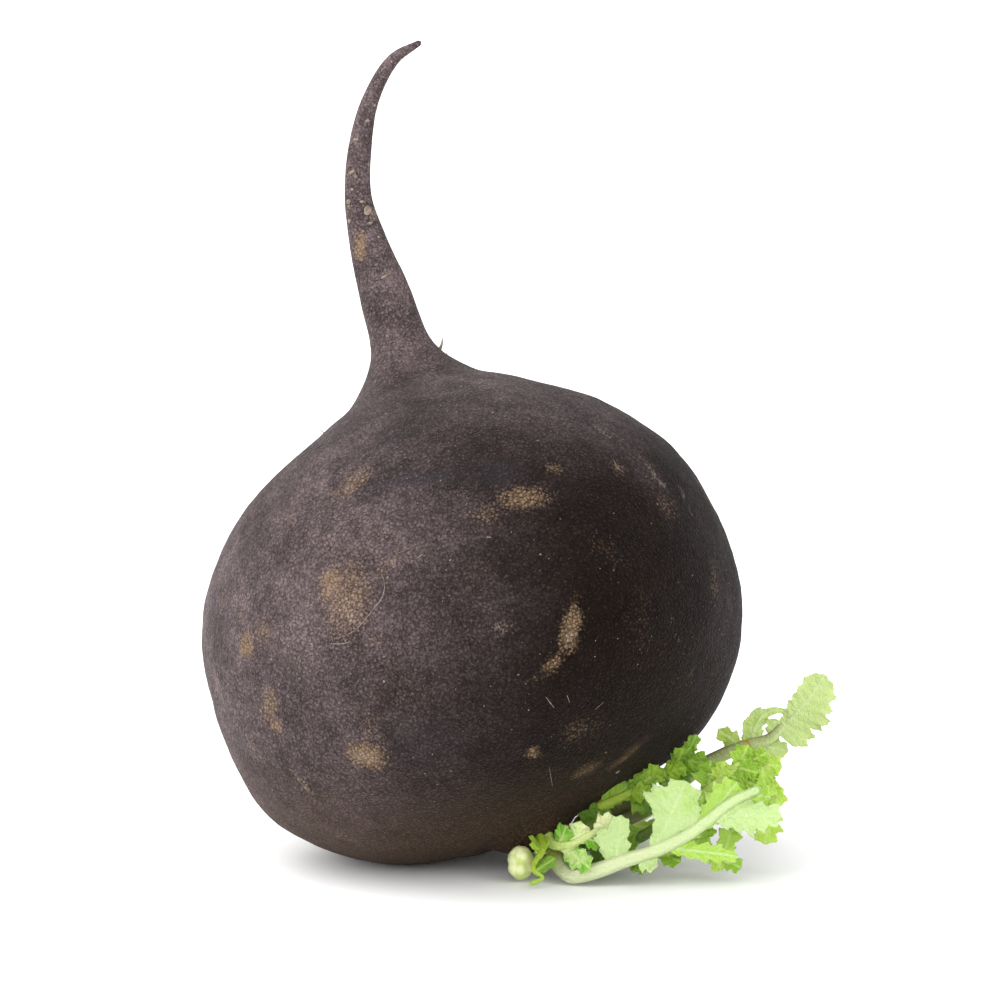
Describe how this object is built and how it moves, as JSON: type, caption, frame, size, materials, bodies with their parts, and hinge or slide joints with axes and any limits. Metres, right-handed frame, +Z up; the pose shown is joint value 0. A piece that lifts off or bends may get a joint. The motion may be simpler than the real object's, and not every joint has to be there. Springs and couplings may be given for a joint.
{
  "type": "black radish",
  "caption": "Round black radish with its long thin tail curving up, rough dark skin and a tuft of young toothed leaves, resting on its base.",
  "frame": {"origin": "middle of the small flat spot under the root, on the surface it rests on", "axes": "+Z up, +X towards the side that the leaf tuft lies on, -Y towards the viewer of the leaf tuft"},
  "size_m": [0.1161, 0.1005, 0.1476],
  "materials": {
    "root_skin": "matt, rough and finely wrinkled",
    "leaf_front": "satin, pale green with a whitish rib",
    "leaf_tall": "satin, pale yellow-green with a whitish rib",
    "leaf_arched": "satin, fresh green",
    "leaf_inner": "satin, deeper green",
    "leaf_curled": "satin, fresh green",
    "leaf_low": "satin, fresh green",
    "leaf_back": "satin, fresh green",
    "leaf_sliver": "satin, pale green",
    "leaf_bud": "matt, pale cream green"
  },
  "bodies": {
    "root": {"root": "root_skin", "leaf_front": "leaf_front", "leaf_tall": "leaf_tall", "leaf_arched": "leaf_arched", "leaf_inner": "leaf_inner", "leaf_curled": "leaf_curled", "leaf_low": "leaf_low", "leaf_back": "leaf_back", "leaf_sliver": "leaf_sliver", "leaf_bud": "leaf_bud"}
  },
  "joints": []
}
